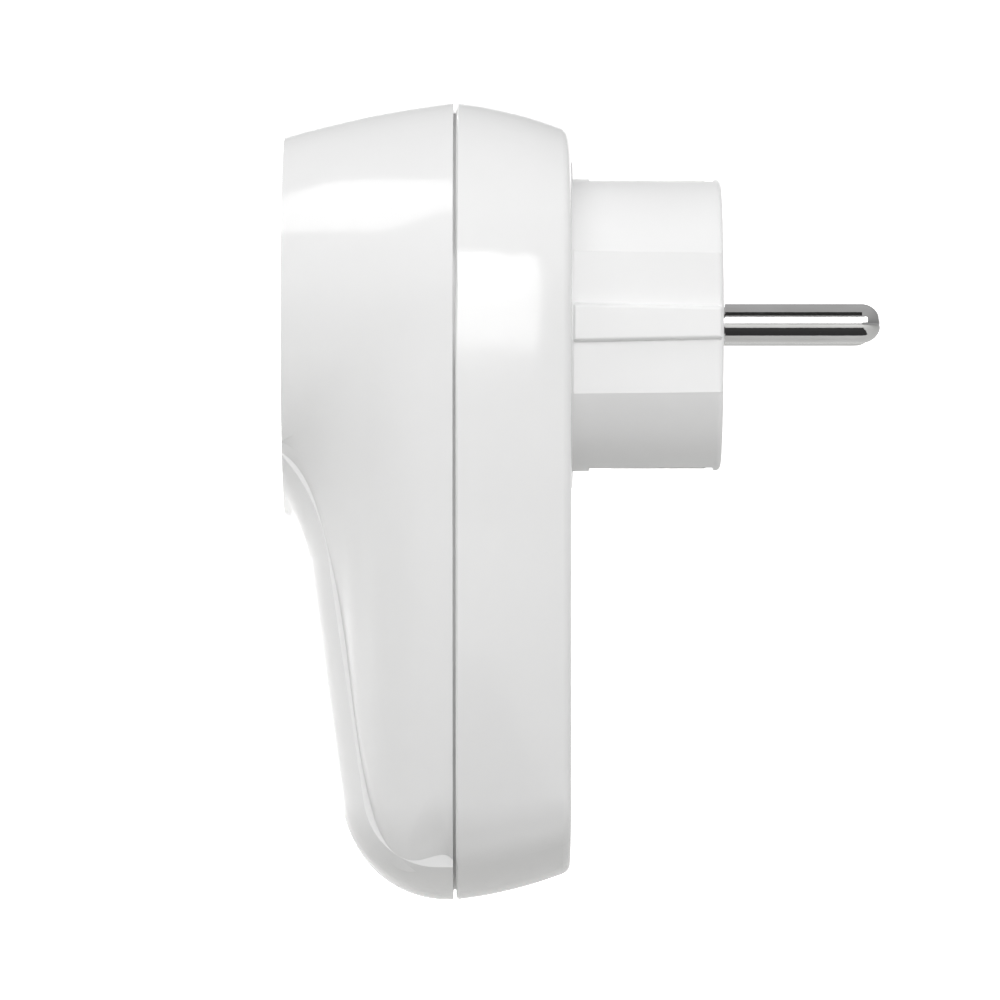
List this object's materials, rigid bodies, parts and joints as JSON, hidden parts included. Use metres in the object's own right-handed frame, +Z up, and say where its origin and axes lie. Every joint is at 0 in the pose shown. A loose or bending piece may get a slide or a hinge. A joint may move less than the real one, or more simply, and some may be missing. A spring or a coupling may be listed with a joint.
{
  "type": "plug-in power meter",
  "caption": "Plug-in mains power meter: round earthed plug behind, shuttered socket in a round collar in front, sloping panel with display and flush buttons.",
  "frame": {"origin": "middle of the plug's end face, on the common axis of plug and socket", "axes": "+Z up, the pins point along +Y, the socket and display face -Y, X runs across"},
  "size_m": [0.056, 0.0728, 0.0979],
  "materials": {
    "shell": "smooth glossy white ABS",
    "plug_plastic": "glossy white thermoset",
    "socket_plastic": "glossy white polycarbonate",
    "shutter_plastic": "satin light grey acetal",
    "carrier_plastic": "natural polyamide",
    "button_plastic": "satin light grey ABS",
    "window": "clear polished acrylic",
    "lcd": "grey-green liquid crystal glass",
    "lcd_frame": "black polycarbonate",
    "zebra": "striped conductive silicone",
    "nickel": "polished nickel plate on brass",
    "brass": "bare brass",
    "spring_steel": "spring steel",
    "earth_metal": "nickel-plated steel strip",
    "manganin": "manganin strip",
    "circuit_board": "green solder mask on glass epoxy",
    "chip": "black moulded epoxy",
    "capacitor_film": "yellow box capacitor",
    "capacitor_can": "dark sleeve",
    "varistor": "blue epoxy dip",
    "resistor": "green flameproof coating",
    "battery": "nickel-plated steel can",
    "header": "black header with tinned pins",
    "terminal": "green terminal block",
    "switch": "black switch body",
    "plunger": "dark grey plunger",
    "screw": "zinc-plated steel",
    "wire_brown": "brown PVC",
    "wire_blue": "blue PVC",
    "wire_black": "black PVC",
    "crystal_can": "tinned can"
  },
  "bodies": {
    "root": {"front_shell": "shell", "rear_shell": "shell", "socket_insert": "socket_plastic", "plug_body": "plug_plastic", "line_pin": "nickel", "neutral_pin": "nickel", "contact_carrier": "carrier_plastic", "shutter_spring": "spring_steel", "line_contact": "brass", "neutral_contact": "brass", "contact_rings": "spring_steel", "upper_earth_bracket": "earth_metal", "lower_earth_bracket": "earth_metal", "earth_link": "earth_metal", "main_board": "circuit_board", "terminal_block": "terminal", "metering_chip": "chip", "dropper_capacitor": "capacitor_film", "filter_capacitor": "capacitor_can", "varistor": "varistor", "fusible_resistor": "resistor", "backup_battery": "battery", "battery_clip": "earth_metal", "display_board": "circuit_board", "lcd_frame": "lcd_frame", "lcd_glass": "lcd", "zebra_strips": "zebra", "display_window": "window", "controller_chip": "chip", "crystal": "crystal_can", "board_link": "header", "switch_bodies": "switch", "case_screws": "screw", "carrier_screws": "screw", "main_board_screws": "screw", "display_board_screws": "screw", "line_busbar": "brass", "line_output_busbar": "brass", "neutral_busbar": "brass", "measuring_shunt": "manganin", "line_wire": "wire_brown", "sense_wire": "wire_black", "neutral_wire": "wire_blue"},
    "shutter": {"shutter": "shutter_plastic"},
    "mode_button": {"mode_button": "button_plastic", "mode_plunger": "plunger"},
    "up_button": {"up_button": "button_plastic", "up_plunger": "plunger"},
    "down_button": {"down_button": "button_plastic", "down_plunger": "plunger"}
  },
  "joints": [
    {"name": "shutter_turn", "type": "hinge", "parent": "root", "child": "shutter", "pos_m": [0, -0.033, 0], "axis": [0, 1, 0], "range_deg": [0, 40], "stiffness_Nm_per_rad": 0.02, "springref_deg": -17.19, "deforming": ["shutter_spring"]},
    {"name": "mode_button_press", "type": "slide", "parent": "root", "child": "mode_button", "axis": [0, 0.9895, 0.1444], "range_m": [0, 0.0006], "stiffness_N_per_m": 800, "springref_m": -0.0004},
    {"name": "up_button_press", "type": "slide", "parent": "root", "child": "up_button", "axis": [0, 0.9895, 0.1444], "range_m": [0, 0.0006], "stiffness_N_per_m": 800, "springref_m": -0.0004},
    {"name": "down_button_press", "type": "slide", "parent": "root", "child": "down_button", "axis": [0, 0.9895, 0.1444], "range_m": [0, 0.0006], "stiffness_N_per_m": 800, "springref_m": -0.0004}
  ]
}
